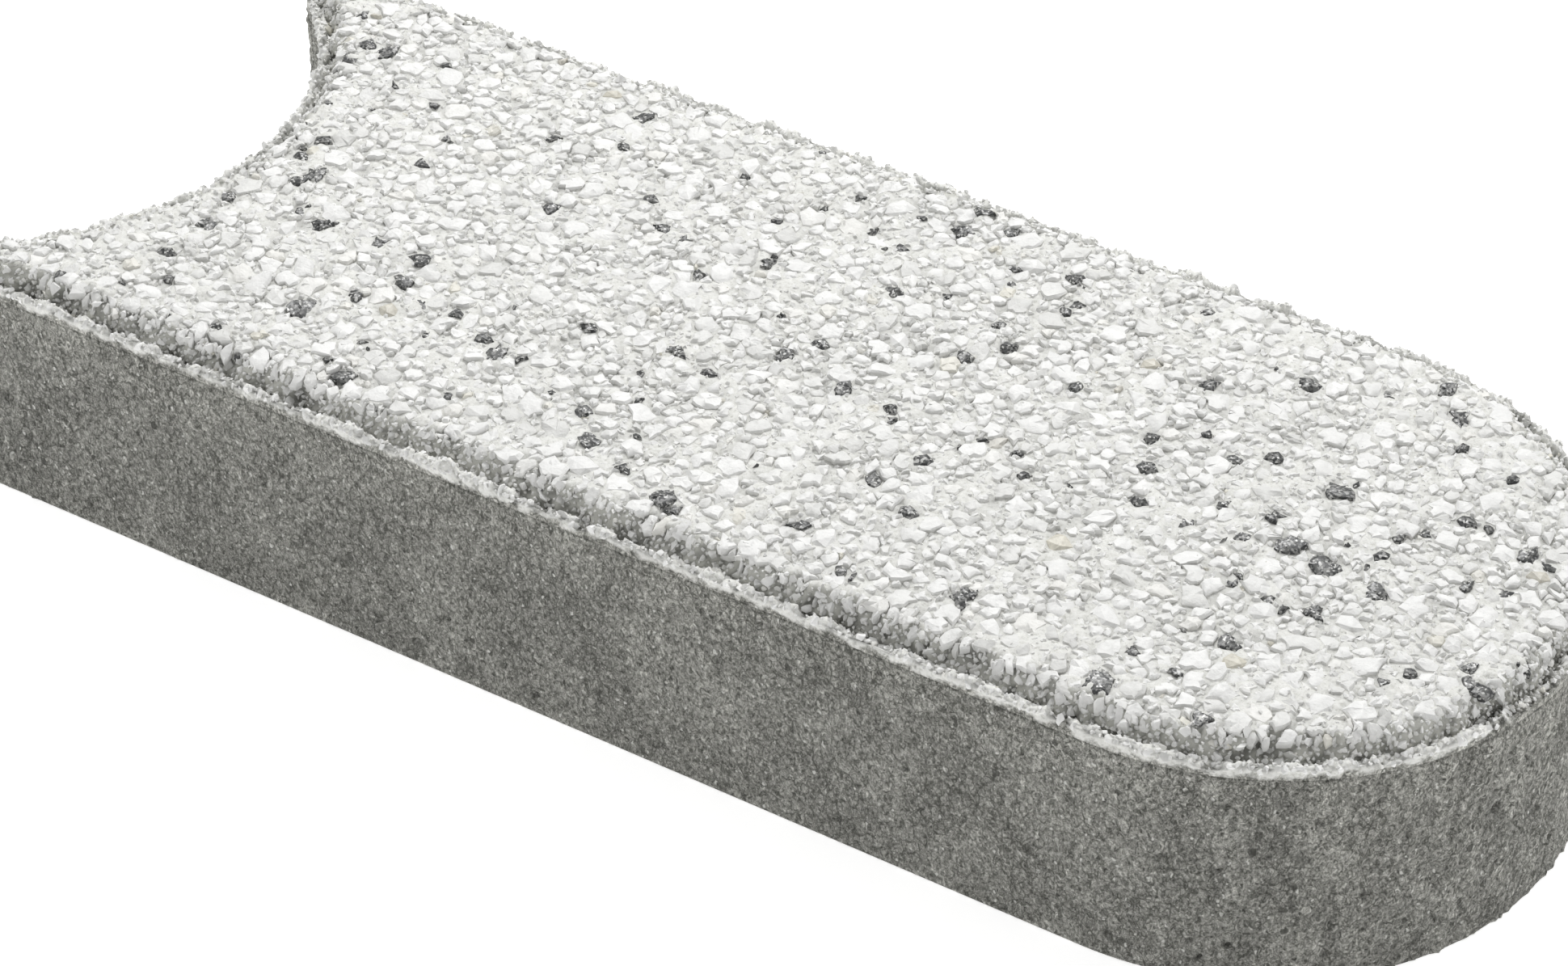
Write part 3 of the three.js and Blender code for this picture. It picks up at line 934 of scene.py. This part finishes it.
stoneLook = {
    # from the foot in the mortar over the girdle to the crown: share of the reach, drop in mm, unevenness
    "rings": ((0.88, -1.5, 0.0), (1.0, -0.5, 0.06), (0.95, -0.17, 0.18), (0.7, -0.03, 0.36)),
    "fewCorners": 9,  # a stone with fewer has this one ring for a crown instead of the last two
    "smallCrown": (0.80, -0.16, 0.24),
    "leastReach": 0.25 * mm,
    "lean": 0.09, "slopeShare": 0.8,  # stones lean a little at random, and with most of the ground's slope
    "uneven": 0.1 * mm,
    "peak": 0.02 * mm, "peakUneven": 0.05 * mm,
    "footDrop": 1.8 * mm, "footTaper": 0.1,
    "sharpAngle": math.radians(27),
}


def buildStones(name, random, x, y, reach, angles, topZ, slope, tone):
    # closed stones: rings of corners, with a point under the foot and a point on the crown
    look = stoneLook
    count, corners = reach.shape
    reach = np.maximum(reach - packing["crevice"] / 2, look["leastReach"])
    size = reach.mean(1)
    lean = random.normal(0, look["lean"], (count, 2)) + look["slopeShare"] * slope
    rings = look["rings"]
    if corners < look["fewCorners"]:
        rings = (*rings[:2], look["smallCrown"])
    points = np.zeros((count, corners * len(rings) + 2, 3))
    cos, sin = np.cos(angles), np.sin(angles)
    for k, (share, drop, unevenness) in enumerate(rings):
        r = reach * share * (1 - unevenness * random.random(reach.shape))
        px, py = cos * r, sin * r
        tall = topZ[:, None] + drop * mm + lean[:, :1] * px + lean[:, 1:] * py
        if k:
            tall = tall + random.normal(0, look["uneven"], reach.shape)
        block = slice(k * corners, (k + 1) * corners)
        points[:, block] = np.stack([x[:, None] + px, y[:, None] + py, tall], 2)
    peak = random.normal(look["peak"], look["peakUneven"], count)
    points[:, -2] = np.stack([x, y, topZ + peak], 1)
    points[:, -1] = np.stack([x, y, topZ - look["footDrop"] - look["footTaper"] * size], 1)
    template = ringFaces(len(rings), corners)
    crown = (len(rings) - 1) * corners
    for i in range(corners):
        j = (i + 1) % corners
        template.append((crown + i, crown + j, points.shape[1] - 2))
        template.append((j, i, points.shape[1] - 1))
    step = points.shape[1]
    faces = [tuple(v + n * step for v in face) for n in range(count) for face in template]
    thing = makeObject(name, points.reshape(-1, 3), faces, {"tone": np.repeat(tone, step)})
    thing.data.shade_smooth()
    thing.data.set_sharp_from_angle(angle=look["sharpAngle"])
    return thing


def grainShapes(name, count, corners, seed):
    # a few broken grains of unit radius for the scatter to pick from
    random = np.random.default_rng(seed)
    group = bpy.data.collections.new(name)
    bpy.context.scene.collection.children.link(group)
    for n in range(count):
        shape = bmesh.new()
        for _ in range(corners):
            away = Vector(random.normal(0, 1, 3)).normalized()
            shape.verts.new(away * random.uniform(0.8, 1.0))
        hull = bmesh.ops.convex_hull(shape, input=shape.verts)
        buried = list({v for v in hull["geom_interior"] if isinstance(v, bmesh.types.BMVert)})
        bmesh.ops.delete(shape, geom=buried, context="VERTS")
        bmesh.ops.recalc_face_normals(shape, faces=shape.faces)
        mesh = bpy.data.meshes.new(f"{name}{n}")
        shape.to_mesh(mesh)
        shape.free()
        group.objects.link(bpy.data.objects.new(f"{name}{n}", mesh))
    return group


def dropShapes(group):
    for thing in list(group.objects):
        bpy.data.objects.remove(thing)
    bpy.data.collections.remove(group)


def giveMaterial(thing, material):
    thing.data.materials.clear()
    thing.data.materials.append(material)


def finishPiece(thing):
    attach(thing, body)


makeCamera()
makeLight()
makeFloor()
print("studio ready")

concrete = castConcrete()
mortar = whiteMortar()
marble = crushedStone("crushedMarble", marbleLook)
quartz = crushedStone("wornQuartz", quartzLook)
wholeMarble = crushedStone("wholeMarble", marbleLook, toneByPlace=True)
wholeQuartz = crushedStone("wholeQuartz", quartzLook, toneByPlace=True)
basalt = brokenBasalt()
weather = weatherTree()
scatter = scatterTree()
print("materials ready")

scene = bpy.context.scene
coreBody = bpy.data.objects.new("coreBody", makeCore(concrete, weather))
scene.collection.objects.link(coreBody)
coreBody.data.shade_smooth()
finishPiece(coreBody)
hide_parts("core_concrete")
print("core ready", len(coreBody.data.polygons))

facingSkin = bpy.data.objects.new("facingSkin", makeFacing(mortar, weather))
scene.collection.objects.link(facingSkin)
facingSkin.data.shade_smooth()
finishPiece(facingSkin)
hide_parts("facing_mortar")
print("facing ready", len(facingSkin.data.polygons))

random = np.random.default_rng(packing["seed"])
x, y, a, b, turn, group = throwStones(random)
owner = claimGround(x, y, a, b, turn, group, random)
print("ground claimed by", len(x), "stones")

proud = stoneTop - coreTop - facingLook["rings"][-1][2] * mm  # how far a stone stands out of the mortar
trianglesPerCorner = 8  # six between the rings, one on the crown and one under the foot
for name, kind in packing["classes"].items():
    chosen = np.flatnonzero(group == name)
    angles = np.linspace(0, 2 * math.pi, kind["corners"], endpoint=False)
    angles = angles + random.uniform(0, 6.28, (len(chosen), 1))  # any way round
    angles = angles + random.normal(0, packing["cornerSwing"], angles.shape)
    reach = radialReach(owner, chosen, x[chosen], y[chosen], angles)
    kept = reach.mean(1) > packing["leastReach"]
    chosen, angles, reach = chosen[kept], angles[kept], reach[kept]
    ground, slope = groundUnder(x[chosen], y[chosen])
    topZ = ground + proud + random.uniform(*kind["top"], len(chosen)) * mm
    tone = random.random(len(chosen))
    draw = random.random(len(chosen))
    isDark = draw < packing["basaltShare"][name]
    isPebble = draw > 1 - packing["pebbleShare"][name]
    plain = ~(isDark | isPebble)
    for label, mask, material, slot in (
        ("marble", plain, marble, "marble_chip"), ("basalt", isDark, basalt, "basalt_chip"),
        ("pebble", isPebble, quartz, "quartz_pebble"),
    ):
        own = np.flatnonzero(mask)
        parts = math.ceil(len(own) * trianglesPerCorner * kind["corners"] / packing["mostTriangles"])
        for part in range(parts):
            some = own[part::parts]
            title = label + name.capitalize() + (str(part + 1) if parts > 1 else "")
            thing = buildStones(title, random, x[chosen][some], y[chosen][some], reach[some], angles[some],
                                topZ[some], slope[some], tone[some])
            giveMaterial(thing, material)
            finishPiece(thing)
            print(title, len(some), "stones")

# the loose grains that are scattered on the facing: the zone they lie in, their sizes and how close they lie
looseGrains = {
    "bevelStones": {"Band": "bevel", "Spacing": 1.9 * mm, "Density": 3e6, "Smallest": 0.6 * mm,
                    "Largest": 1.6 * mm, "Sink": 0.1, "Seed": 2},
    "bevelGrains": {"Band": "bevel", "Spacing": 0.95 * mm, "Density": 6e6, "Smallest": 0.3 * mm,
                    "Largest": 0.75 * mm, "Sink": -0.1, "Seed": 4},
    "lipStones": {"Band": "lip", "Spacing": 2.4 * mm, "Density": 5e6, "Smallest": 0.7 * mm,
                  "Largest": 1.4 * mm, "Sink": 0.3, "Seed": 6},
    "lipCrumbs": {"Band": "lip", "Spacing": 1.0 * mm, "Density": 5e6, "Smallest": 0.4 * mm,
                  "Largest": 0.85 * mm, "Sink": 0.05, "Seed": 7},
    "faceSand": {"Band": "flat", "Spacing": 1.9 * mm, "Density": 4e5, "Smallest": 0.3 * mm,
                 "Largest": 0.75 * mm, "Sink": 0.1, "Seed": 9},
}
crumbAngle = math.radians(45)  # sharper edges than this stay sharp
crumbs = grainShapes("crumb", count=7, corners=12, seed=19)
for name, values in looseGrains.items():
    mesh = bakeNodes(facingSkin, scatter, {**values, "Grains": crumbs, "Material": marble}, name)
    grains = bpy.data.objects.new(name, mesh)
    scene.collection.objects.link(grains)
    mesh.shade_smooth()
    mesh.set_sharp_from_angle(angle=crumbAngle)
    finishPiece(grains)
    print(name, len(mesh.polygons))
dropShapes(crumbs)

for name, node in frame["nodes"].items():
    for start, material in (("basalt", basalt), ("marble", wholeMarble), ("quartz", wholeQuartz)):
        if name.startswith(start):
            giveMaterial(node, material)
